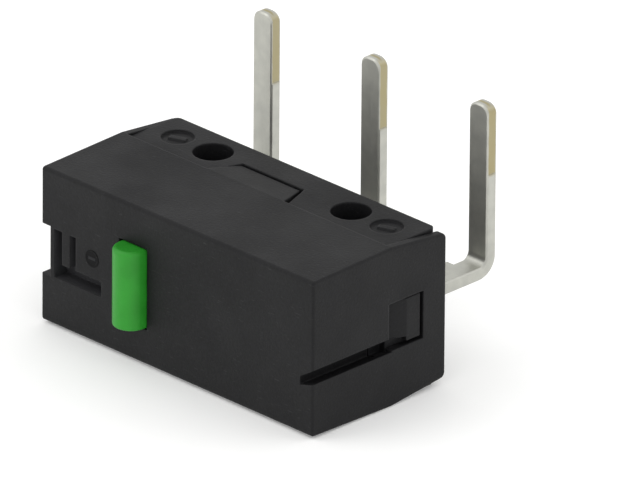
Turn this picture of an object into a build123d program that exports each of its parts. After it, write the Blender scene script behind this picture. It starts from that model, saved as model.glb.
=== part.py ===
"""Sub-subminiature snap-action switch with a pin plunger and terminals bent to one broad side."""
import os
from build123d import *

os.makedirs("parts", exist_ok=True)

# Frame: X along the body, Y from the plunger face to the terminals, Z across the broad faces.
# Origin: midway between the two mounting holes, on the broad face that the switch lies on.

# --- body envelope and mounting holes
body_length = 12.8
body_thick = 5.8
hole_to_front = 4.9
hole_to_back = 1.4
hole_to_end = 3.15
hole_dia = 1.4

# --- cover
front_wall = 0.5
broad_wall = 0.5
end_wall = 0.8
face_draft = 0.09         # lost from each broad side at the front face
arm_thick = 0.3
arm_short = 0.08          # the end arms stop this far before the terminal face
arm_taper = 0.27          # lost from each broad side at the tip of an arm
arm_tip_round = 0.22
corner_round = 0.08       # round both end faces
edge_round = 0.12         # along the front face

# --- seam between cover and base
seam_land = 0.5           # from the rim of a mounting hole to the edge of the cover
seam_gap = 0.02
spigot_height = 0.5       # part of the base that stands inside the cover
spigot_gap = 0.03

# --- locking tongue of the cover on each broad face, between the mounting holes
tongue_left_land = 0.67   # from the rim of the left hole to the tip of the tongue
tongue_right_land = 1.68
tongue_flare = 0.44       # the root is wider than the tip by this on each side
tongue_reach = 1.16
tongue_drop = 0.14        # its face slopes down to the tip
tongue_left_gap = 0.02
tongue_right_gap = 0.12
tongue_tip_gap = 0.11

# --- snap windows in the end arms and the hooks of the base behind them
window_front_ahead = 1.35
window_length = 1.62
window_height = 1.74
hook_gap = 0.14           # behind and below a hook, and ahead of its ramp
hook_top_gap = 0.06
hook_ramp = 0.73
hook_sink = 0.04
ramp_relief = 0.3         # the right hook's ramp is cut away this high above the window's foot

# --- side grooves from the front face to the snap windows
groove_depth = 0.43
groove_height = 1.84
groove_drop = 0.17        # the left groove and the pockets sit below mid height by this
slot_mouth = 0.52
slot_inner = 0.3
slot_depth = 0.6
slot_below_window_foot = 0.04
slot_fall = 0.16

# --- blind pockets beside the left front corner, where a lever foot can be fitted
pocket_depth = 0.6
pocket_from_end = 0.62
pocket_width = 2.23
pocket_height = 1.76
pocket_foot_height = 0.55
outer_slit = 0.36
pocket_rib = 0.37
inner_slit = 0.28
pocket_back_wall = 0.3

# --- base
base_inset = 0.1          # its upper broad face lies this far below that of the cover
rebate_depth = 0.28       # the terminal face steps back along both broad faces
rebate_height = 0.8
base_corner_round = 0.2
dial_to_end = 1.48        # round mould inserts beside the mounting holes
dial_dia = 1.15
dial_depth = 0.09
pointer_length = 0.62
pointer_width = 0.24
pointer_height = 0.06
pointer_turn = 20         # degrees from the long axis

# --- terminals
terminal_to_end = 1.32    # from an outer leg's centre to the end of the body
stock = 0.45
leg_width = 0.9
leg_standoff = 3.15       # from the terminal face to the far side of the bent legs
leg_height = 8.9
root_step = 0.25          # each leg is wider by this on its left, near the base
root_reach = 2.0          # from the terminal face to the end of the wide root
root_bury = 0.5           # length of the wide root inside the base
bend_radius = 0.3
tip_round = 0.36
tip_chamfer = 0.06
trim_length = 2.5
trim_step = 0.025

# --- contacts, stacked along Y at one station
contact_to_leg = 1.18     # from the contacts to the normally closed leg
contact_gap = 0.25
rest_gap = 0.01
fixed_head = 0.2
moving_head = 0.25
head_dia = 1.2
head_rounding = 0.7       # share of a head's height taken by its rounded rim
shank_dia = 0.6
pad_length = 1.4
pad_width = 1.4
closed_fold_radius = 0.25

# --- snap blade
blade_thick = 0.1
blade_width = 2.5
rail_width = 0.55
end_bar = 0.4
tongue_slit = 0.15
blade_end_past_contact = 0.75
blade_corner = 0.45
spring_root_to_contact = 1.0
spring_bulge = 0.36

# --- posts of the common terminal that hold the blade
anchor_past_leg = 0.18    # from the common leg's centre to its anchor post
anchor_post = 0.5
anchor_above_blade = 0.5
fulcrum_past_plunger = 0.7
fulcrum_post = 0.55
fulcrum_below_blade = 0.5
fulcrum_above_seat = 0.4
notch_depth = 0.1
notch_height = 0.22
foot_width = 0.6
foot_above_floor = 0.3
foot_wall_gap = 0.07      # from the end wall to the end of the foot

# --- plunger
plunger_to_end = 4.35
plunger_width = 1.25
plunger_height = 2.86
plunger_drop = 0.06       # its stem sits below mid height by this
plunger_proud = 0.72
plunger_side_gap = 0.04
plunger_end_gap = 0.04
plunger_top_round = 0.15
plunger_foot_round = 0.08
flange_width = 2.0
flange_height = 3.8
flange_thick = 0.5
flange_gap = 0.02
foot_length_x = 0.7
foot_rail_gap = 0.01
guide_gap = 0.06
guide_wall = 0.3
guide_depth = 0.9

# --- places that follow from the sizes above
end_x = body_length / 2
hole_x = end_x - hole_to_end
terminal_x = end_x - terminal_to_end
contact_x = terminal_x - contact_to_leg
plunger_x = plunger_to_end - end_x
front_y = -hole_to_front
back_y = hole_to_back
mid_z = body_thick / 2
base_top_z = body_thick - base_inset
seam_y = -(hole_dia / 2 + seam_land)
arm_inner_x = end_x - arm_thick
arm_tip_y = back_y - arm_short
cavity_x = end_x - end_wall
cavity_y = front_y + front_wall
cavity_height = body_thick - 2 * broad_wall
floor_y = seam_y - spigot_height
window_front_y = -window_front_ahead
window_back_y = window_front_y + window_length
window_foot_z = mid_z - window_height / 2
window_mid_y = (window_front_y + window_back_y) / 2
groove_mid_z = mid_z - groove_drop
slot_foot_z = window_foot_z - slot_below_window_foot
plunger_mid_z = mid_z - plunger_drop
tongue_left_x = -hole_x + hole_dia / 2 + tongue_left_land
tongue_right_x = hole_x - hole_dia / 2 - tongue_right_land
tongue_tip_y = seam_y + tongue_reach
anchor_x = anchor_past_leg - terminal_x
fulcrum_x = plunger_x + fulcrum_past_plunger
spring_root_x = contact_x - spring_root_to_contact

pad_y = floor_y - stock                                        # face of the normally open pad
open_face_y = pad_y - fixed_head
blade_y = open_face_y - contact_gap - moving_head - blade_thick / 2
closed_face_y = blade_y - blade_thick / 2 - moving_head - rest_gap
closed_pad_y = closed_face_y - fixed_head                      # face of the normally closed pad
rail_middle = (blade_width - rail_width) / 2
window_in_blade = blade_width - 2 * rail_width
flange_y = cavity_y + flange_gap

# --- locking tongue, cut once here and used on both broad faces of the cover
with BuildPart() as tongue:
    with BuildSketch():
        with BuildLine():
            Polyline(
                (tongue_right_x + tongue_flare, seam_y),
                (tongue_right_x, tongue_tip_y),
                (tongue_left_x, tongue_tip_y),
                (tongue_left_x - tongue_flare, seam_y),
                close=True,
            )
        make_face()
    extrude(amount=broad_wall)
    with BuildSketch(Plane.YZ):
        with BuildLine():
            Polyline((seam_y, 0), (tongue_tip_y, 0), (tongue_tip_y, tongue_drop), close=True)
        make_face()
    extrude(amount=body_length / 2, both=True, mode=Mode.SUBTRACT)

# --- narrow slot on the right end face, falling inwards, cut into the cover and the base alike
with BuildPart() as slot:
    with BuildSketch(Plane.XZ.offset(-front_y)):
        with BuildLine():
            Polyline(
                (end_x, slot_foot_z),
                (end_x, slot_foot_z + slot_mouth),
                (end_x - slot_depth, slot_foot_z - slot_fall + slot_inner),
                (end_x - slot_depth, slot_foot_z - slot_fall),
                close=True,
            )
        make_face()
    extrude(amount=-(window_front_y + hook_gap - front_y))

# --- cover: one moulding, open towards the base, with an arm at each end
with BuildPart() as cover:
    # seen from the end: both broad sides draw in towards the front, and along the arms
    with BuildSketch(Plane.YZ) as side:
        with BuildLine():
            Polyline(
                (front_y, face_draft),
                (seam_y, 0),
                (arm_tip_y, arm_taper),
                (arm_tip_y, body_thick - arm_taper),
                (seam_y, body_thick),
                (front_y, body_thick - face_draft),
                close=True,
            )
        make_face()
        fillet(side.vertices().group_by(Axis.X)[-1], arm_tip_round)
    extrude(amount=end_x, both=True)
    with Locations((0, seam_y, mid_z)):
        Box(2 * arm_inner_x, arm_tip_y - seam_y, body_thick, align=(Align.CENTER, Align.MIN, Align.CENTER),
            mode=Mode.SUBTRACT)
    fillet(cover.edges().filter_by(Axis.X).group_by(Axis.Y)[0], edge_round)
    end_faces = cover.faces().filter_by(Axis.X).sort_by(Axis.X)
    fillet(end_faces[0].edges() + end_faces[-1].edges(), corner_round)

    # cavity, and a wider mouth that takes the spigot of the base
    with Locations((0, cavity_y, mid_z)):
        Box(2 * cavity_x, -cavity_y, cavity_height, align=(Align.CENTER, Align.MIN, Align.CENTER),
            mode=Mode.SUBTRACT)
    with Locations((0, seam_y, mid_z)):
        Box(2 * arm_inner_x, spigot_height + 2 * spigot_gap, cavity_height,
            align=(Align.CENTER, Align.MAX, Align.CENTER), mode=Mode.SUBTRACT)

    # block behind the corner pockets, and the two ribs that guide the plunger flange
    guide_x = flange_width / 2 + guide_gap
    block_right = plunger_x - guide_x
    with Locations((-cavity_x, cavity_y, mid_z)):
        Box(block_right + cavity_x, pocket_depth - front_wall + pocket_back_wall, cavity_height,
            align=(Align.MIN, Align.MIN, Align.CENTER))
    with Locations((block_right - guide_wall, cavity_y, mid_z)):
        Box(guide_wall, guide_depth, cavity_height, align=(Align.MIN, Align.MIN, Align.CENTER))
    with Locations((plunger_x + guide_x, cavity_y, mid_z)):
        Box(guide_wall, guide_depth, cavity_height, align=(Align.MIN, Align.MIN, Align.CENTER))

    # plunger opening in the front wall
    with Locations((plunger_x, front_y, plunger_mid_z)):
        Box(plunger_width + 2 * plunger_side_gap, front_wall, plunger_height + 2 * plunger_end_gap,
            align=(Align.CENTER, Align.MIN, Align.CENTER), mode=Mode.SUBTRACT)

    # snap windows through both arms
    with Locations((end_x, window_mid_y, mid_z), (-end_x, window_mid_y, mid_z)):
        Box(2 * arm_thick, window_length, window_height, mode=Mode.SUBTRACT)

    # wide groove on the left end face
    with Locations((-end_x, front_y, groove_mid_z)):
        Box(2 * groove_depth, window_front_y - front_y, groove_height,
            align=(Align.CENTER, Align.MIN, Align.CENTER), mode=Mode.SUBTRACT)

    # narrow slot on the right end face
    add(slot.part, mode=Mode.SUBTRACT)

    # blind pockets for a lever foot: two upright slits joined by one along the bottom
    pocket_x = pocket_from_end - end_x
    pocket_foot_z = groove_mid_z - pocket_height / 2
    with BuildSketch(Plane.XZ.offset(-front_y)):
        with Locations((pocket_x, pocket_foot_z)):
            Rectangle(pocket_width, pocket_foot_height, align=(Align.MIN, Align.MIN))
            Rectangle(outer_slit, pocket_height, align=(Align.MIN, Align.MIN))
        with Locations((pocket_x + outer_slit + pocket_rib, pocket_foot_z)):
            Rectangle(inner_slit, pocket_height, align=(Align.MIN, Align.MIN))
    extrude(amount=-pocket_depth, mode=Mode.SUBTRACT)

    # tongues that lock into the base on both broad faces
    add(tongue.part)
    mirror(tongue.part, about=Plane.XY.offset(mid_z))
cover.part.label = "cover"

# --- terminals: each is one stamping of plated brass, its leg bent towards the upper broad face
leg_y = back_y + leg_standoff - stock / 2
leg_bend = bend_radius + stock / 2


def bent_leg(station, start_y):
    """Leg that leaves the base along Y at mid height and turns up along Z."""
    with BuildPart() as leg:
        with BuildLine(Plane.YZ.offset(station)) as route:
            FilletPolyline((start_y, mid_z), (leg_y, mid_z), (leg_y, leg_height), radius=leg_bend)
        with BuildSketch(Plane(origin=(station, start_y, mid_z), x_dir=(1, 0, 0), z_dir=(0, 1, 0))):
            Rectangle(leg_width, stock)
        sweep(path=route.line)
        tip = leg.faces().sort_by(Axis.Z)[-1]
        fillet(tip.edges().filter_by(Axis.Y), tip_round)
        chamfer(leg.faces().sort_by(Axis.Z)[-1].edges().filter_by(Axis.X), tip_chamfer)
        # wide root, stepped on one side only
        with Locations((station, back_y - root_bury, mid_z)):
            Box(leg_width / 2 + root_step, root_bury + root_reach, stock,
                align=(Align.MAX, Align.MIN, Align.CENTER))
        # sides trimmed where the solder end was cut from its carrier strip
        with Locations((station, leg_y, leg_height)):
            with Locations((-leg_width / 2, 0, 0), (leg_width / 2, 0, 0)):
                Box(2 * trim_step, 2 * stock, 2 * trim_length, mode=Mode.SUBTRACT)
    return leg.part


# common terminal: a flat blank whose two posts pass through the window of the blade
with BuildPart() as common_terminal:
    add(bent_leg(-terminal_x, floor_y))
    foot_y = floor_y - foot_above_floor
    foot_x = foot_wall_gap - cavity_x
    with BuildSketch(Plane.XY.offset(mid_z)):
        with Locations((foot_x, foot_y)):
            Rectangle(fulcrum_x - foot_x, foot_width, align=(Align.MIN, Align.MIN))
        with Locations((anchor_x, foot_y)):
            Rectangle(anchor_post, foot_y - blade_y + anchor_above_blade, align=(Align.MIN, Align.MAX))
        with Locations((fulcrum_x, foot_y)):
            Rectangle(fulcrum_post, foot_y - (blade_y + fulcrum_below_blade) + fulcrum_above_seat,
                      align=(Align.MAX, Align.MAX))
        with Locations((anchor_x, blade_y), (fulcrum_x, blade_y + fulcrum_below_blade)):
            Rectangle(2 * notch_depth, notch_height, mode=Mode.SUBTRACT)
    extrude(amount=stock / 2, both=True)
common_terminal.part.label = "common_terminal"

# normally open terminal: a strip along the floor with the contact pad at its end
with BuildPart() as normally_open_terminal:
    add(bent_leg(0, floor_y))
    with BuildSketch(Plane.XZ.offset(-floor_y)):
        with Locations((-leg_width / 2, mid_z)):
            Rectangle(contact_x + leg_width / 2, leg_width, align=(Align.MIN, Align.CENTER))
        with Locations((contact_x, mid_z)):
            Rectangle(pad_length, pad_width)
            Circle(shank_dia / 2, mode=Mode.SUBTRACT)
    extrude(amount=stock)
normally_open_terminal.part.label = "normally_open_terminal"

# normally closed terminal: rises at the end of the cavity and folds back over the contact
with BuildPart() as normally_closed_terminal:
    add(bent_leg(terminal_x, floor_y))
    fold_y = closed_pad_y - stock / 2
    with BuildLine() as rise:
        FilletPolyline(
            (terminal_x, floor_y + stock),
            (terminal_x, fold_y),
            (contact_x - pad_length / 2, fold_y),
            radius=closed_fold_radius + stock / 2,
        )
    with BuildSketch(Plane(origin=(terminal_x, floor_y + stock, mid_z), x_dir=(1, 0, 0), z_dir=(0, -1, 0))):
        Rectangle(stock, pad_width)
    sweep(path=rise.line)
    with Locations(Plane(origin=(contact_x, closed_pad_y, mid_z), z_dir=(0, 1, 0))):
        Hole(shank_dia / 2)
normally_closed_terminal.part.label = "normally_closed_terminal"


# --- contacts: rivets with a rounded head
def rivet(head_y, head_height, shank_length):
    """Head standing on the plane at head_y, towards +Y for a positive height, shank the other way."""
    with BuildPart() as body:
        with BuildSketch(Plane.XZ.offset(-head_y)):
            with Locations((contact_x, mid_z)):
                Circle(head_dia / 2)
        extrude(amount=-head_height)
        rim = body.edges().sort_by(Axis.Y)[-1 if head_height > 0 else 0]
        fillet(rim, abs(head_height) * head_rounding)
        with BuildSketch(Plane.XZ.offset(-head_y)):
            with Locations((contact_x, mid_z)):
                Circle(shank_dia / 2)
        extrude(amount=shank_length)
    return body.part


with BuildPart() as normally_open_contact:
    add(rivet(pad_y, -fixed_head, -stock))
normally_open_contact.part.label = "normally_open_contact"

with BuildPart() as normally_closed_contact:
    add(rivet(closed_pad_y, fixed_head, stock))
normally_closed_contact.part.label = "normally_closed_contact"

# double-headed: its shank is held in the blade
with BuildPart() as moving_contact:
    add(rivet(blade_y + blade_thick / 2, moving_head, blade_thick))
    add(rivet(blade_y - blade_thick / 2, -moving_head, -blade_thick))
moving_contact.part.label = "moving_contact"

# --- snap blade: two rails from the anchor to the contact, and a bowed tongue back to the fulcrum
anchor_seat_x = anchor_x + notch_depth
fulcrum_seat_x = fulcrum_x - notch_depth
blade_tip_x = contact_x + blade_end_past_contact
with BuildPart() as moving_blade:
    with BuildSketch(Plane.XZ.offset(-blade_y)):
        with BuildLine():
            Polyline(
                (anchor_seat_x - end_bar, mid_z - blade_width / 2),
                (blade_tip_x - blade_corner, mid_z - blade_width / 2),
                (blade_tip_x, mid_z - blade_width / 2 + blade_corner),
                (blade_tip_x, mid_z + blade_width / 2 - blade_corner),
                (blade_tip_x - blade_corner, mid_z + blade_width / 2),
                (anchor_seat_x - end_bar, mid_z + blade_width / 2),
                close=True,
            )
        make_face()
        with Locations((anchor_seat_x, mid_z)):
            Rectangle(spring_root_x - anchor_seat_x, window_in_blade, align=(Align.MIN, Align.CENTER),
                      mode=Mode.SUBTRACT)
        with Locations((contact_x, mid_z)):
            Circle(shank_dia / 2, mode=Mode.SUBTRACT)
    extrude(amount=blade_thick / 2, both=True)
    with BuildSketch(Plane.XY.offset(mid_z)):
        with BuildLine():
            Spline(
                (fulcrum_seat_x + blade_thick / 2, blade_y + fulcrum_below_blade),
                ((fulcrum_seat_x + spring_root_x) / 2, blade_y - spring_bulge),
                (spring_root_x, blade_y),
                tangents=[(1, -0.9), (1, 0)],
            )
        trace(line_width=blade_thick)
    extrude(amount=window_in_blade / 2 - tongue_slit, both=True)
moving_blade.part.label = "moving_blade"

# --- base: carries the terminals, both mounting holes and the hooks
base_x = arm_inner_x - seam_gap
with BuildPart() as base:
    rebate_y = back_y - rebate_depth
    with Locations((0, seam_y + seam_gap, 0)):
        Box(2 * base_x, rebate_y - seam_y - seam_gap, base_top_z,
            align=(Align.CENTER, Align.MIN, Align.MIN))
    fillet(base.edges().filter_by(Axis.Z).group_by(Axis.Y)[-1], base_corner_round)
    with Locations((0, floor_y, mid_z)):
        Box(2 * base_x, back_y - floor_y, body_thick - 2 * rebate_height,
            align=(Align.CENTER, Align.MIN, Align.CENTER))
    with Locations((0, floor_y, mid_z)):
        Box(2 * base_x, spigot_height + seam_gap, cavity_height - 2 * spigot_gap,
            align=(Align.CENTER, Align.MIN, Align.CENTER))

    # hooks on both ends: a ramp from the front, then a flat that lies flush with the arm
    hook_x = end_x - hook_sink
    hook_foot_z = window_foot_z + hook_gap
    with BuildSketch(Plane.XY.offset(hook_foot_z)):
        with BuildLine():
            Polyline(
                (base_x, window_front_y + hook_gap),
                (hook_x, window_front_y + hook_gap + hook_ramp),
                (hook_x, window_back_y - hook_gap),
                (base_x, window_back_y - hook_gap),
                close=True,
            )
        make_face()
        mirror(about=Plane.YZ)
    extrude(amount=window_foot_z + window_height - hook_top_gap - hook_foot_z)
    add(slot.part, mode=Mode.SUBTRACT)
    with Locations((base_x, window_front_y, window_foot_z)):
        Box(arm_thick, hook_gap + hook_ramp, ramp_relief, align=(Align.MIN, Align.MIN, Align.MIN),
            mode=Mode.SUBTRACT)

    # recesses for the tongues of the cover
    recess_tip_y = tongue_tip_y + tongue_tip_gap
    with BuildSketch(Plane.XY, Plane.XY.offset(body_thick - broad_wall - spigot_gap)):
        with BuildLine():
            Polyline(
                (tongue_left_x - tongue_flare - tongue_left_gap, seam_y),
                (tongue_right_x + tongue_flare + tongue_right_gap, seam_y),
                (tongue_right_x + tongue_right_gap, recess_tip_y),
                (tongue_left_x - tongue_left_gap, recess_tip_y),
                close=True,
            )
        make_face()
    extrude(amount=broad_wall + spigot_gap, mode=Mode.SUBTRACT)

    # mounting holes
    with Locations((-hole_x, 0, base_top_z), (hole_x, 0, base_top_z)):
        Hole(hole_dia / 2)

    # round mould inserts beside the holes
    with BuildSketch(Plane.XY.offset(base_top_z)):
        with Locations((dial_to_end - end_x, 0), (end_x - dial_to_end, 0)):
            Circle(dial_dia / 2)
    extrude(amount=-dial_depth, mode=Mode.SUBTRACT)
    with BuildSketch(Plane.XY.offset(base_top_z - dial_depth)):
        with Locations((dial_to_end - end_x, 0), (end_x - dial_to_end, 0)):
            Rectangle(pointer_length, pointer_width, rotation=pointer_turn)
    extrude(amount=pointer_height)

    # moulded around the terminals
    add(common_terminal.part, mode=Mode.SUBTRACT)
    add(normally_open_terminal.part, mode=Mode.SUBTRACT)
    add(normally_closed_terminal.part, mode=Mode.SUBTRACT)
base.part.label = "base"

# --- plunger: half-round stem, a flange that stops it inside the front wall, two feet on the rails
nose_radius = plunger_width / 2
nose_y = front_y - plunger_proud
with BuildPart() as plunger:
    with BuildSketch(Plane.XY.offset(plunger_mid_z - plunger_height / 2)):
        with Locations((plunger_x, nose_y + nose_radius)):
            Circle(nose_radius)
            Rectangle(plunger_width, flange_y - nose_y - nose_radius, align=(Align.CENTER, Align.MIN))
    extrude(amount=plunger_height)
    fillet(plunger.faces().sort_by(Axis.Z)[-1].edges().sort_by(Axis.Y)[0], plunger_top_round)
    fillet(plunger.faces().sort_by(Axis.Z)[0].edges().sort_by(Axis.Y)[0], plunger_foot_round)
    with Locations((plunger_x, flange_y, mid_z)):
        Box(flange_width, flange_thick, flange_height, align=(Align.CENTER, Align.MIN, Align.CENTER))
    foot_length = blade_y - blade_thick / 2 - foot_rail_gap - flange_y
    with Locations((plunger_x, flange_y, mid_z - rail_middle), (plunger_x, flange_y, mid_z + rail_middle)):
        Box(foot_length_x, foot_length, rail_width, align=(Align.CENTER, Align.MIN, Align.CENTER))
plunger.part.label = "plunger"

export_step(cover.part, "parts/cover.step")
export_step(base.part, "parts/base.step")
export_step(plunger.part, "parts/plunger.step")
export_step(common_terminal.part, "parts/common_terminal.step")
export_step(normally_open_terminal.part, "parts/normally_open_terminal.step")
export_step(normally_closed_terminal.part, "parts/normally_closed_terminal.step")
export_step(normally_open_contact.part, "parts/normally_open_contact.step")
export_step(normally_closed_contact.part, "parts/normally_closed_contact.step")
export_step(moving_contact.part, "parts/moving_contact.step")
export_step(moving_blade.part, "parts/moving_blade.step")
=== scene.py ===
import math

import bpy
from mathutils import Matrix, Vector


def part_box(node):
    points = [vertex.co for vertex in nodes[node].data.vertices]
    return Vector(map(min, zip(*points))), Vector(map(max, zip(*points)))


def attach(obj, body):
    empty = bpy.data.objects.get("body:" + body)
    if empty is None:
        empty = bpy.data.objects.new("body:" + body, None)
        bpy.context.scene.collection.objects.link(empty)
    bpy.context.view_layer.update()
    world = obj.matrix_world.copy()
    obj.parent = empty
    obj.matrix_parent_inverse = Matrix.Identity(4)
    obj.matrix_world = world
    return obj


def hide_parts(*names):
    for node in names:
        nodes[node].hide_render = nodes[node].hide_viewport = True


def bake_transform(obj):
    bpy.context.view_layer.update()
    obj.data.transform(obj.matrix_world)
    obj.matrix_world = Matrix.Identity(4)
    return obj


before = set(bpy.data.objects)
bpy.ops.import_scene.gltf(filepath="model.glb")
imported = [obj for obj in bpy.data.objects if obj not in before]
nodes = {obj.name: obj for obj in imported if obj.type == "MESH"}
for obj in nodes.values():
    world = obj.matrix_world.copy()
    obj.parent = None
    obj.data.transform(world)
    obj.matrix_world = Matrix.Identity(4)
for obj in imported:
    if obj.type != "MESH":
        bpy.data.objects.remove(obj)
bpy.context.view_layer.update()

# --- Camera ---------------------------------------------------------------------------------
# A long lens 0.7 m away looks down on the corner between the plunger face and the
# right-hand end. From so far off, the parallel edges of a part this small stay parallel.
look_at = Vector((0.001807, 0, 0.004159))
turned_right = math.radians(44.918)
raised = math.radians(24.97)
tilted = math.radians(0.444)
distance = 0.7
lens_mm = 1187.4
sensor_mm = 36

camera = bpy.data.objects.new("camera", bpy.data.cameras.new("camera"))
bpy.context.scene.collection.objects.link(camera)
camera.data.lens = lens_mm
camera.data.sensor_width = sensor_mm
camera.data.clip_start = 0.01
camera.data.clip_end = 10
aim = (
    Matrix.Rotation(turned_right, 4, "Z")
    @ Matrix.Rotation(math.radians(90) - raised, 4, "X")
    @ Matrix.Rotation(tilted, 4, "Z")
)
camera.matrix_world = Matrix.Translation(look_at + aim.to_3x3() @ Vector((0, 0, distance))) @ aim
bpy.context.scene.camera = camera

# --- Housing: cover and base ----------------------------------------------------------------
# Two mouldings of glass-filled polyester, PBT, in black. The cover is open towards the base and
# grips it with an arm at each end, whose window snaps over a hook, and a tongue on each broad
# face. The mould was left with the fine matt grain of spark erosion.
mm = 0.001
grain_size = 0.09 * mm      # spark erosion grain is near 0.03 mm, drawn coarser to show
grain_depth = 0.012 * mm
fibre_length = 0.3 * mm
fibre_slimness = 6          # length over width
sink_width = 2.2 * mm       # wide, faint hollows where a thick moulding shrank as it cooled
sink_depth = 0.02 * mm
corner_radius = 0.1 * mm    # of the rounding that the shading gives to corners
pbt_ior = 1.55
case_gloss = 0.2            # specular level, under the usual 0.5 for a flatter black
mark_gloss = 0.07
fade = 0.02 * mm            # over which a colour patch ends
pocket_middle = (-4.66 * mm, -4.5 * mm, 2.73 * mm)
pocket_half_size = (1.2 * mm, 0.38 * mm, 1.0 * mm)


def linear(hex_colour):
    """An sRGB hex colour as the linear colour that a shader takes."""
    shares = [int(hex_colour[i:i + 2], 16) / 255 for i in (1, 3, 5)]
    return [s / 12.92 if s <= 0.04045 else ((s + 0.055) / 1.055) ** 2.4 for s in shares] + [1]


def add(tree, kind, inputs, **settings):
    """Adds a node with its settings, and gives each input a value or the output that feeds it."""
    node = tree.nodes.new("ShaderNode" + kind)
    for name, value in settings.items():
        setattr(node, name, value)
    for name, value in inputs.items():
        if isinstance(value, bpy.types.NodeSocket):
            tree.links.new(value, node.inputs[name])
        else:
            node.inputs[name].default_value = value
    return node


def new_material(name):
    """A material, its node tree, its surface shader, and the Object coordinates of each point."""
    material = bpy.data.materials.new(name)
    material.use_nodes = True
    tree = material.node_tree
    place = add(tree, "TexCoord", {}).outputs["Object"]
    return material, tree, tree.nodes["Principled BSDF"], place


def connect(tree, surface, colour, shine, relief=None):
    """Gives a surface shader its colour and its roughness, and its normal if it has a relief."""
    tree.links.new(colour.outputs[2], surface.inputs["Base Color"])
    tree.links.new(shine.outputs[0], surface.inputs["Roughness"])
    if relief:
        tree.links.new(relief.outputs[0], surface.inputs["Normal"])


def dress(name, material):
    """Gives a CAD node one material all over."""
    for slot in nodes[name].material_slots:
        slot.material = material


def rounded_corner(tree, radius):
    """A bevel that rounds corners in the shading, and how far it turns the normal there."""
    corner = add(tree, "Bevel", {"Radius": radius}, samples=4)
    flat = add(tree, "NewGeometry", {}).outputs["Normal"]
    turn = add(tree, "VectorMath", {0: corner.outputs[0], 1: flat}, operation="DOT_PRODUCT")
    return corner, turn


def inside_box(tree, place, middle, half_size):
    """A node whose output is 1 inside a box and fades to 0 just within its faces."""
    depth = add(tree, "VectorMath", {0: place, 1: middle}, operation="SUBTRACT")
    depth = add(tree, "VectorMath", {0: depth.outputs[0]}, operation="ABSOLUTE")
    depth = add(tree, "VectorMath", {0: half_size, 1: depth.outputs[0]}, operation="SUBTRACT")
    depth = add(tree, "SeparateXYZ", {"Vector": depth.outputs[0]})
    least = add(tree, "Math", {0: depth.outputs["X"], 1: depth.outputs["Y"]}, operation="MINIMUM")
    least = add(tree, "Math", {0: least.outputs[0], 1: depth.outputs["Z"]}, operation="MINIMUM")
    return add(tree, "MapRange", {"Value": least.outputs[0], 1: 0, 2: fade})


def moulded_black_pbt():
    """Matt black: fine even grain, faint pale fibres, and a painted highlight that makes the edges
    a little lighter.
    """
    material, tree, surface, place = new_material("moulded_black_pbt")

    grain = add(tree, "TexNoise", {
        "Vector": place, "Scale": 1 / grain_size, "Detail": 3, "Roughness": 0.6,
    })
    sinks = add(tree, "TexNoise", {"Vector": place, "Scale": 1 / sink_width, "Detail": 2})
    turned = add(tree, "Mapping", {
        "Vector": place,
        "Rotation": (0.4, 0.3, 0.5),
        "Scale": (
            1 / fibre_length, fibre_slimness / fibre_length, fibre_slimness / fibre_length),
    })
    fibres = add(tree, "TexNoise", {"Vector": turned.outputs[0], "Scale": 1, "Detail": 1})
    fibre_share = add(tree, "MapRange", {"Value": fibres.outputs[0], 1: 0.66, 2: 0.8, 3: 0, 4: 0.5})

    corner, turn = rounded_corner(tree, corner_radius)
    # painted highlight: the edges are painted a paler grey where the bevel turns the normal
    painted_edge_highlight = add(tree, "MapRange", {"Value": turn.outputs["Value"], 1: 0.98, 2: 0.75, 3: 0, 4: 0.4})

    body = add(tree, "Mix", {
        0: add(tree, "MapRange", {"Value": grain.outputs[0], 1: 0.3, 2: 0.7}).outputs[0],
        6: linear("#0e0e0f"),
        7: linear("#161618"),
    }, data_type="RGBA")
    with_fibres = add(tree, "Mix", {
        0: fibre_share.outputs[0],
        6: body.outputs[2],
        7: linear("#333334"),
    }, data_type="RGBA")
    # painted light: the blind pockets are painted a little paler than the faces around them, as
    # light that reaches into them
    pale = inside_box(tree, place, pocket_middle, pocket_half_size)
    with_pocket_light = add(tree, "Mix", {
        0: pale.outputs[0],
        6: with_fibres.outputs[2],
        7: linear("#353537"),
    }, data_type="RGBA")
    colour = add(tree, "Mix", {
        0: painted_edge_highlight.outputs[0],
        6: with_pocket_light.outputs[2],
        7: linear("#38383a"),
    }, data_type="RGBA")
    shine = add(tree, "MapRange", {"Value": sinks.outputs[0], 1: 0.3, 2: 0.7, 3: 0.52, 4: 0.64})

    hollows = add(tree, "Bump", {
        "Height": sinks.outputs[0],
        "Distance": sink_depth,
        "Strength": 0.5,
        "Normal": corner.outputs[0],
    })
    relief = add(tree, "Bump", {
        "Height": grain.outputs[0],
        "Distance": grain_depth,
        "Strength": 0.8,
        "Normal": hollows.outputs[0],
    })
    connect(tree, surface, colour, shine, relief)
    surface.inputs["IOR"].default_value = pbt_ior
    surface.inputs["Specular IOR Level"].default_value = case_gloss
    return material


mark_dia = 0.62 * mm
mark_sides = 48
mark_rim = 0.05 * mm
mark_slope = 0.02 * mm      # width of the step from the rim down to the field
mark_rise = 0.012 * mm
mark_sunk = 0.03 * mm       # hidden part of the disc, so that it meets the face without a gap
mark_x = -3.99 * mm
mark_z = 3.12 * mm
bar_length = 0.32 * mm
bar_width = 0.09 * mm
front_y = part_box("cover")[0].y


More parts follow.
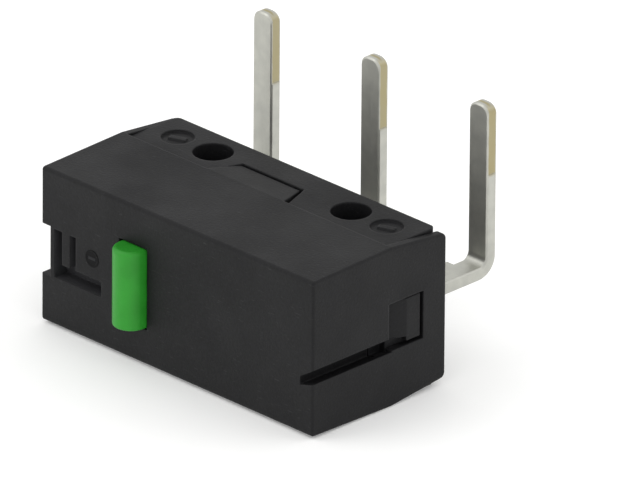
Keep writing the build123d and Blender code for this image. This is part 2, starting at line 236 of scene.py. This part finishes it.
def insert_pbt_painted_shade():
    """The same black on the end of the mould insert, more even, with painted shade that makes it
    darker, as in a sunk disc, and a painted highlight on the bar.
    """
    material, tree, surface, place = new_material("insert_pbt_painted_shade")
    haze = add(tree, "TexNoise", {"Vector": place, "Scale": 1 / grain_size, "Detail": 2})
    field = add(tree, "Mix", {
        0: haze.outputs[0], 6: linear("#09090a"), 7: linear("#101011"),
    }, data_type="RGBA")
    # painted highlight: the bar is painted paler than the field around it
    painted_bar_highlight = inside_box(
        tree, place, (mark_x, front_y, mark_z),
        (bar_length / 2 + fade, mark_dia, bar_width / 2 + fade))
    colour = add(tree, "Mix", {
        0: painted_bar_highlight.outputs[0], 6: field.outputs[2], 7: linear("#29292b"),
    }, data_type="RGBA")
    shine = add(tree, "MapRange", {"Value": haze.outputs[0], 1: 0.3, 2: 0.7, 3: 0.4, 4: 0.5})
    connect(tree, surface, colour, shine)
    surface.inputs["IOR"].default_value = pbt_ior
    surface.inputs["Specular IOR Level"].default_value = mark_gloss
    return material


def pick(mesh_object, wanted, kind="faces"):
    """Selects the faces or edges, in edit mode, for which wanted(middle, direction) holds."""
    bpy.ops.mesh.select_all(action="DESELECT")
    bpy.ops.object.mode_set(mode="OBJECT")
    mesh = mesh_object.data
    points = mesh.vertices
    if kind == "faces":
        for face in mesh.polygons:
            face.select = wanted(face.center, face.normal)
    else:
        for edge in mesh.edges:
            a, b = (points[i].co for i in edge.vertices)
            edge.select = wanted((a + b) / 2, (b - a).normalized())
    bpy.ops.object.mode_set(mode="EDIT")


black_pbt = moulded_black_pbt()
for name in ("cover", "base"):
    dress(name, black_pbt)

# The round end of a mould insert shows on the plunger face beside the pockets, as on the base.
bpy.ops.object.select_all(action="DESELECT")
bpy.ops.mesh.primitive_cylinder_add(
    vertices=mark_sides, radius=mark_dia / 2, depth=mark_rise + mark_sunk,
    location=(mark_x, front_y + (mark_sunk - mark_rise) / 2, mark_z),
    rotation=(math.pi / 2, 0, 0))
mark = bpy.context.object
mark.name = "mould_insert_mark"
bpy.ops.object.transform_apply(location=True, rotation=True, scale=True)
bpy.ops.object.mode_set(mode="EDIT")
bpy.ops.mesh.select_mode(type="FACE")
pick(mark, lambda at, way: way.y < -0.9)
bpy.ops.mesh.inset(thickness=mark_rim, depth=0)
bpy.ops.mesh.inset(thickness=mark_slope, depth=-mark_rise / 2)
bar_middle = (mark_x, front_y - mark_rise / 2, mark_z)
bpy.ops.mesh.primitive_cube_add(size=1, location=bar_middle)
bpy.ops.transform.resize(value=(bar_length, mark_rise, bar_width), center_override=bar_middle)
bpy.ops.object.mode_set(mode="OBJECT")
# the disc is painted darker, as painted shade for a sunk disc, and its bar paler, as a painted
# highlight
mark.data.materials.clear()
mark.data.materials.append(insert_pbt_painted_shade())
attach(mark, "housing")

# --- Terminals ------------------------------------------------------------------------------
# Three stampings of hard brass, tin plated as a strip and moulded into the base. Each leg comes
# out of the back, bends up past the broad face, and was cut from its carrier strip after plating,
# so the cut sides near its tip are bare brass.
roll_line = 0.07 * mm       # lines left by rolling are near 0.01 mm apart, drawn coarser to show
roll_length = 1.6 * mm
line_depth = 0.002 * mm
cloud_size = 0.5 * mm       # soft unevenness of the tin
edge_radius = 0.035 * mm
strip_thick = 0.45 * mm
trim_length = 2.5 * mm
trim_fade = 0.12 * mm
side_bare = (0.16 * mm, 0.21 * mm)    # how far from mid thickness brass turns to tin
tip_bare = (0.06 * mm, 0.13 * mm)
rim_wander = 0.06 * mm      # how much these borders and the start of the cut waver
trim_wander = 0.15 * mm
leg_tip_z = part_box("common_terminal")[1].z
leg_middle_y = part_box("common_terminal")[1].y - strip_thick / 2


def tinned_brass():
    """Satin tin with lines along the leg, and yellow brass on the sides cut after plating."""
    material, tree, surface, place = new_material("tinned_brass")
    along_leg = add(tree, "Mapping", {
        "Vector": place,
        "Scale": (1 / roll_line, 1 / roll_length, 1 / roll_length),
    })
    lines = add(tree, "TexNoise", {"Vector": along_leg.outputs[0], "Scale": 1, "Detail": 4})
    clouds = add(tree, "TexNoise", {"Vector": place, "Scale": 1 / cloud_size, "Detail": 3})

    facing = add(tree, "SeparateXYZ", {"Vector": add(tree, "TexCoord", {}).outputs["Normal"]})
    side = add(tree, "Math", {0: facing.outputs["X"]}, operation="ABSOLUTE")
    height = add(tree, "SeparateXYZ", {"Vector": place})
    # a ragged rim of tin is left on the cut along both faces of the strip; this pale rim is partly
    # real tin and partly a painted highlight on the edges of the cut
    from_middle = add(tree, "Math", {0: height.outputs["Y"], 1: leg_middle_y}, operation="SUBTRACT")
    from_middle = add(tree, "Math", {0: from_middle.outputs[0]}, operation="ABSOLUTE")
    ragged = add(tree, "Math", {
        0: clouds.outputs[0], 1: rim_wander, 2: from_middle.outputs[0],
    }, operation="MULTIPLY_ADD")
    bare_side = add(tree, "MapRange", {
        "Value": ragged.outputs[0], 1: side_bare[0], 2: side_bare[1], 3: 1, 4: 0.25,
    })
    bare_tip = add(tree, "MapRange", {
        "Value": ragged.outputs[0], 1: tip_bare[0], 2: tip_bare[1], 3: 0.9, 4: 0.1,
    })
    side = add(tree, "Math", {0: side.outputs[0], 1: bare_side.outputs[0]}, operation="MULTIPLY")
    tip = add(tree, "Math", {0: facing.outputs["Z"], 1: bare_tip.outputs[0]}, operation="MULTIPLY")
    cut = add(tree, "Math", {0: side.outputs[0], 1: tip.outputs[0]}, operation="MAXIMUM")
    is_cut = add(tree, "MapRange", {"Value": cut.outputs[0], 1: 0.2, 2: 0.9})
    wander = add(tree, "Math", {
        0: clouds.outputs[0], 1: trim_wander, 2: height.outputs["Z"],
    }, operation="MULTIPLY_ADD")
    trim_start = leg_tip_z - trim_length
    is_trimmed = add(tree, "MapRange", {
        "Value": wander.outputs[0], 1: trim_start, 2: trim_start + trim_fade,
    })
    bare = add(tree, "Math", {0: is_cut.outputs[0], 1: is_trimmed.outputs[0]}, operation="MULTIPLY")

    tin = add(tree, "Mix", {
        0: add(tree, "MapRange", {"Value": clouds.outputs[0], 1: 0.35, 2: 0.65}).outputs[0],
        6: linear("#b6b6af"),
        7: linear("#c0c0b8"),
    }, data_type="RGBA")
    brass = add(tree, "Mix", {
        0: lines.outputs[0],
        6: linear("#a3986e"),
        7: linear("#aea78e"),
    }, data_type="RGBA")
    colour = add(tree, "Mix", {
        0: bare.outputs[0], 6: tin.outputs[2], 7: brass.outputs[2],
    }, data_type="RGBA")
    satin = add(tree, "MapRange", {"Value": lines.outputs[0], 1: 0.3, 2: 0.7, 3: 0.44, 4: 0.5})
    corner = add(tree, "Bevel", {"Radius": edge_radius}, samples=4)
    relief = add(tree, "Bump", {
        "Height": lines.outputs[0],
        "Distance": line_depth,
        "Strength": 0.5,
        "Normal": corner.outputs[0],
    })
    connect(tree, surface, colour, satin, relief)
    surface.inputs["Metallic"].default_value = 1
    return material


leg_metal = tinned_brass()
for name in ("common_terminal", "normally_open_terminal", "normally_closed_terminal"):
    dress(name, leg_metal)

# --- Contacts -------------------------------------------------------------------------------
# Three rivets of fine-grained silver alloy, headed cold: one in the pad of each fixed terminal,
# and one with two heads held in the tip of the blade, which moves between them.
bloom_size = 0.4 * mm
pressed_size = 0.05 * mm
pressed_depth = 0.003 * mm


def headed_silver():
    """Pale warm grey metal, softly pressed, with the faint bloom of tarnish that silver gets."""
    material, tree, surface, place = new_material("headed_silver")
    bloom = add(tree, "TexNoise", {"Vector": place, "Scale": 1 / bloom_size, "Detail": 4})
    pressed = add(tree, "TexNoise", {"Vector": place, "Scale": 1 / pressed_size, "Detail": 2})
    tarnish = add(tree, "MapRange", {"Value": bloom.outputs[0], 1: 0.4, 2: 0.75})
    colour = add(tree, "Mix", {
        0: tarnish.outputs[0], 6: linear("#eceae4"), 7: linear("#b9b19c"),
    }, data_type="RGBA")
    shine = add(tree, "MapRange", {"Value": bloom.outputs[0], 1: 0.3, 2: 0.7, 3: 0.2, 4: 0.38})
    relief = add(tree, "Bump", {
        "Height": pressed.outputs[0], "Distance": pressed_depth, "Strength": 0.5,
    })
    connect(tree, surface, colour, shine, relief)
    surface.inputs["Metallic"].default_value = 1
    return material


silver = headed_silver()
for name in ("normally_open_contact", "normally_closed_contact", "moving_contact"):
    dress(name, silver)

# --- Snap blade -----------------------------------------------------------------------------
# One stamping of hard copper alloy strip, 0.1 mm thick: an end bar hooked on the anchor post, two
# rails that carry the contact, and a bowed tongue that pushes back on the fulcrum post. It bends
# as the plunger presses on its rails, so it is made here as four stretches that meet.
blade_thick = 0.1 * mm
blade_width = 2.5 * mm
rail_width = 0.55 * mm
end_bar = 0.4 * mm
tongue_slit = 0.15 * mm
tip_corner = 0.45 * mm
rivet_hole_dia = 0.6 * mm
tongue_root_to_contact = 1.0 * mm
tongue_seat_past_plunger = 0.6 * mm
cross_bar = 0.3 * mm        # from the root of the tongue to where the stiff tip begins
bow_depth = 0.36 * mm
seat_rise = 0.5 * mm        # the tongue's free end sits this far behind the plane of the rails
seat_slope = 0.9            # how steeply the tongue leaves the post
rail_parts = 24             # the rails are cut across into so many, so that they can bend
tongue_parts = 28
touching = 0.01 * mm        # closer than this counts as on the edge
smooth_under = math.radians(30)
hair_width = 0.06 * mm
hair_length = 2 * mm
hair_depth = 0.003 * mm
patch_size = 1.5 * mm

blade_low, blade_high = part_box("moving_blade")
rivet_low, rivet_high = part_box("moving_contact")
plunger_low, plunger_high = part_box("plunger")
blade_y = (rivet_low.y + rivet_high.y) / 2
mid_z = (blade_low.z + blade_high.z) / 2
contact_x = (rivet_low.x + rivet_high.x) / 2
plunger_x = (plunger_low.x + plunger_high.x) / 2
anchor_x = blade_low.x + end_bar
tongue_root_x = contact_x - tongue_root_to_contact
tongue_seat_x = plunger_x + tongue_seat_past_plunger
stiff_x = tongue_root_x + cross_bar


def hard_copper_strip():
    """Rosy gold metal, rolled bright, with hair lines along the strip and darker patches."""
    material, tree, surface, place = new_material("hard_copper_strip")
    along_strip = add(tree, "Mapping", {
        "Vector": place,
        "Scale": (1 / hair_length, 1 / hair_width, 1 / hair_width),
    })
    hair = add(tree, "TexNoise", {"Vector": along_strip.outputs[0], "Scale": 1, "Detail": 4})
    patches = add(tree, "TexNoise", {"Vector": place, "Scale": 1 / patch_size, "Detail": 3})
    colour = add(tree, "Mix", {
        0: add(tree, "MapRange", {"Value": patches.outputs[0], 1: 0.4, 2: 0.7}).outputs[0],
        6: linear("#e0a878"),
        7: linear("#b98257"),
    }, data_type="RGBA")
    shine = add(tree, "MapRange", {"Value": hair.outputs[0], 1: 0.3, 2: 0.7, 3: 0.2, 4: 0.36})
    relief = add(tree, "Bump", {"Height": hair.outputs[0], "Distance": hair_depth, "Strength": 0.5})
    connect(tree, surface, colour, shine, relief)
    surface.inputs["Metallic"].default_value = 1
    return material


def stamped_blade():
    """The flat blank: a strip with a window between its rails, clipped corners and a rivet hole."""
    bpy.ops.object.select_all(action="DESELECT")
    bpy.ops.mesh.primitive_cube_add(size=1)
    blank = bpy.context.object
    length = blade_high.x - blade_low.x
    bpy.ops.object.mode_set(mode="EDIT")
    bpy.ops.mesh.select_mode(type="FACE")
    bpy.ops.mesh.select_all(action="SELECT")
    bpy.ops.transform.resize(value=(length, blade_thick, blade_width))
    bpy.ops.transform.translate(value=(blade_low.x + length / 2, blade_y, mid_z))

    rail_edge = blade_width / 2 - rail_width
    for middle, across in (
        ((anchor_x, 0, 0), (1, 0, 0)),
        ((tongue_root_x, 0, 0), (1, 0, 0)),
        ((0, 0, mid_z - rail_edge), (0, 0, 1)),
        ((0, 0, mid_z + rail_edge), (0, 0, 1)),
    ):
        bpy.ops.mesh.select_all(action="SELECT")
        bpy.ops.mesh.bisect(plane_co=middle, plane_no=across)
    pick(blank, lambda at, way: abs(way.y) > 0.9 and abs(at.z - mid_z) < rail_edge
         and anchor_x < at.x < tongue_root_x)
    bpy.ops.mesh.bridge_edge_loops()

    bpy.ops.mesh.select_mode(type="EDGE")
    pick(blank, lambda at, way: abs(way.y) > 0.9 and at.x > blade_high.x - touching
         and abs(at.z - mid_z) > blade_width / 2 - touching, "edges")
    bpy.ops.mesh.bevel(offset=tip_corner, segments=1)

    for i in range(1, rail_parts):
        bpy.ops.mesh.select_all(action="SELECT")
        cut_x = anchor_x + (stiff_x - anchor_x) * i / rail_parts
        bpy.ops.mesh.bisect(plane_co=(cut_x, 0, 0), plane_no=(1, 0, 0))
    bpy.ops.object.mode_set(mode="OBJECT")

    bpy.ops.mesh.primitive_cylinder_add(
        vertices=32, radius=rivet_hole_dia / 2, depth=4 * blade_thick,
        location=(contact_x, blade_y, mid_z), rotation=(math.pi / 2, 0, 0))
    punch = bpy.context.object
    bpy.context.view_layer.objects.active = blank
    hole = blank.modifiers.new("rivet_hole", "BOOLEAN")
    hole.operation = "DIFFERENCE"
    hole.object = punch
    bpy.ops.object.modifier_apply(modifier=hole.name)
    bpy.data.objects.remove(punch)
    return blank


def take(piece):
    """Selects one object alone and makes it the active one."""
    bpy.ops.object.select_all(action="DESELECT")
    piece.select_set(True)
    bpy.context.view_layer.objects.active = piece


def stretch_of(blank, name, low_x, high_x):
    """A copy of the blank cut off square at low_x and high_x."""
    piece = bpy.data.objects.new(name, blank.data.copy())
    bpy.context.scene.collection.objects.link(piece)
    take(piece)
    bpy.ops.object.mode_set(mode="EDIT")
    bpy.ops.mesh.select_all(action="SELECT")
    bpy.ops.mesh.bisect(
        plane_co=(low_x, 0, 0), plane_no=(1, 0, 0), use_fill=True, clear_inner=True)
    bpy.ops.mesh.select_all(action="SELECT")
    bpy.ops.mesh.bisect(
        plane_co=(high_x, 0, 0), plane_no=(1, 0, 0), use_fill=True, clear_outer=True)
    bpy.ops.object.mode_set(mode="OBJECT")
    return piece


def bowed_tongue():
    """The tongue, drawn out edge by edge from its seat on the post to its root in the blade."""
    half_width = blade_width / 2 - rail_width - tongue_slit
    run = tongue_root_x - tongue_seat_x
    pull = 2 * seat_rise - seat_slope * run
    sag = -4 * (4 * bow_depth + seat_rise + pull / 2)

    def rise(share):
        return (1 - share) ** 2 * (seat_rise + pull * share + sag * share ** 2)

    bpy.ops.object.select_all(action="DESELECT")
    bpy.ops.mesh.primitive_plane_add(size=1)
    tongue = bpy.context.object
    tongue.name = "blade_tongue"
    bpy.ops.object.mode_set(mode="EDIT")
    bpy.ops.mesh.select_mode(type="EDGE")
    bpy.ops.mesh.select_all(action="SELECT")
    bpy.ops.mesh.delete(type="ONLY_FACE")
    pick(tongue, lambda at, way: at.x < -0.1 or abs(at.y) > 0.1, "edges")
    bpy.ops.mesh.delete(type="EDGE")
    bpy.ops.mesh.select_all(action="SELECT")
    bpy.ops.transform.translate(value=(tongue_seat_x - 0.5, 0, 0))
    bpy.ops.transform.rotate(value=math.pi / 2, orient_axis="X", center_override=(0, 0, 0))
    bpy.ops.transform.resize(value=(1, 1, 2 * half_width), center_override=(0, 0, 0))
    bpy.ops.transform.translate(value=(0, blade_y + seat_rise, mid_z))
    for i in range(tongue_parts):
        lift = rise((i + 1) / tongue_parts) - rise(i / tongue_parts)
        bpy.ops.mesh.extrude_region_move(
            TRANSFORM_OT_translate={"value": (run / tongue_parts, lift, 0)})
    bpy.ops.mesh.select_all(action="SELECT")
    bpy.ops.mesh.normals_make_consistent(inside=False)
    bpy.ops.object.mode_set(mode="OBJECT")
    wall = tongue.modifiers.new("strip", "SOLIDIFY")
    wall.thickness = blade_thick
    wall.offset = 0
    wall.use_even_offset = True
    bpy.ops.object.modifier_apply(modifier=wall.name)
    return tongue


copper = hard_copper_strip()
blank = stamped_blade()

blade_root = stretch_of(blank, "blade_root", blade_low.x - blade_thick, plunger_x)
blade_rails = stretch_of(blank, "blade_rails", plunger_x, stiff_x)
blade_tip = stretch_of(blank, "blade_tip", stiff_x, blade_high.x + blade_thick)
blade_tongue = bowed_tongue()
bpy.data.objects.remove(blank)

for piece in (blade_root, blade_rails, blade_tip, blade_tongue):
    piece.data.materials.clear()
    piece.data.materials.append(copper)
    take(piece)
    bpy.ops.object.shade_smooth_by_angle(angle=smooth_under)
    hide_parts("moving_blade")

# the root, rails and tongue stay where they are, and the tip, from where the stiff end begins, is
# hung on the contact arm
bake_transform(blade_root)
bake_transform(blade_rails)
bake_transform(blade_tongue)
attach(blade_tip, "contact_arm")

# --- Plunger --------------------------------------------------------------------------------
# The button that is pressed: a green moulding of acetal, POM, with a half-round nose. It slides in
# the front wall of the cover, is kept in by its flange, and stands on the rails with two feet.
flow_size = 0.8 * mm
button_grain = 0.08 * mm
button_grain_depth = 0.006 * mm
button_corner_radius = 0.06 * mm
acetal_ior = 1.48
button_gloss = 0.35         # specular level, under the usual 0.5 for a deeper green


def moulded_green_acetal():
    """Clear green with a soft waxy gloss, and a painted highlight that makes its edges lighter."""
    material, tree, surface, place = new_material("moulded_green_acetal")
    flow = add(tree, "TexNoise", {"Vector": place, "Scale": 1 / flow_size, "Detail": 3})
    grain = add(tree, "TexNoise", {"Vector": place, "Scale": 1 / button_grain, "Detail": 2})
    corner, turn = rounded_corner(tree, button_corner_radius)
    # painted highlight: the edges are painted a paler green where the bevel turns the normal
    rim = add(tree, "MapRange", {"Value": turn.outputs["Value"], 1: 0.98, 2: 0.75, 3: 0, 4: 0.5})
    body = add(tree, "Mix", {
        0: add(tree, "MapRange", {"Value": flow.outputs[0], 1: 0.35, 2: 0.65}).outputs[0],
        6: linear("#268b24"),
        7: linear("#2b9529"),
    }, data_type="RGBA")
    colour = add(tree, "Mix", {
        0: rim.outputs[0], 6: body.outputs[2], 7: linear("#52b14c"),
    }, data_type="RGBA")
    shine = add(tree, "MapRange", {"Value": grain.outputs[0], 1: 0.3, 2: 0.7, 3: 0.36, 4: 0.5})
    relief = add(tree, "Bump", {
        "Height": grain.outputs[0],
        "Distance": button_grain_depth,
        "Strength": 0.5,
        "Normal": corner.outputs[0],
    })
    connect(tree, surface, colour, shine, relief)
    surface.inputs["IOR"].default_value = acetal_ior
    surface.inputs["Specular IOR Level"].default_value = button_gloss
    return material


dress("plunger", moulded_green_acetal())

# --- Floor and light ------------------------------------------------------------------------
# A plain white floor under soft light from all round. It gives off a little light itself, so that
# it is as white as the room behind it. Two box lights, high on the left and at the back, give the
# broad face and the nose of the plunger a little more than the sides.
floor_size = 1.2
floor_roughness = 0.9
floor_below = 0.01 * mm
floor_glow = 0.15
fleck_size = 1.5 * mm

bpy.ops.object.select_all(action="DESELECT")
bpy.ops.mesh.primitive_plane_add(size=floor_size, location=(0, 0, -floor_below))
floor = bpy.context.object
floor.name = "floor"
paper, paper_tree, paper_surface, paper_place = new_material("white_paper")
fleck = add(paper_tree, "TexNoise", {"Vector": paper_place, "Scale": 1 / fleck_size})
shade = add(paper_tree, "Mix", {
    0: fleck.outputs[0], 6: linear("#f6f6f5"), 7: linear("#f9f9f8"),
}, data_type="RGBA")
paper_tree.links.new(shade.outputs[2], paper_surface.inputs["Base Color"])
paper_surface.inputs["Roughness"].default_value = floor_roughness
paper_surface.inputs["Emission Color"].default_value = linear("#ffffff")
paper_surface.inputs["Emission Strength"].default_value = floor_glow
floor.data.materials.append(paper)

room = bpy.data.worlds.new("room")
room.use_nodes = True
room.node_tree.nodes["Background"].inputs["Color"].default_value = linear("#ffffff")
room.node_tree.nodes["Background"].inputs["Strength"].default_value = 1.0
bpy.context.scene.world = room

for name, spot, side, power in (
    ("box_light_left", (-0.18, -0.22, 0.3), 0.2, 0.22),
    ("box_light_back", (0.25, 0.25, 0.3), 0.2, 0.1),
):
    light = bpy.data.objects.new(name, bpy.data.lights.new(name, "AREA"))
    bpy.context.scene.collection.objects.link(light)
    light.data.size = side
    light.data.energy = power
    light.location = spot
    light.rotation_euler = (-Vector(spot)).to_track_quat("-Z", "Y").to_euler()
bpy.context.scene.view_settings.view_transform = "Standard"
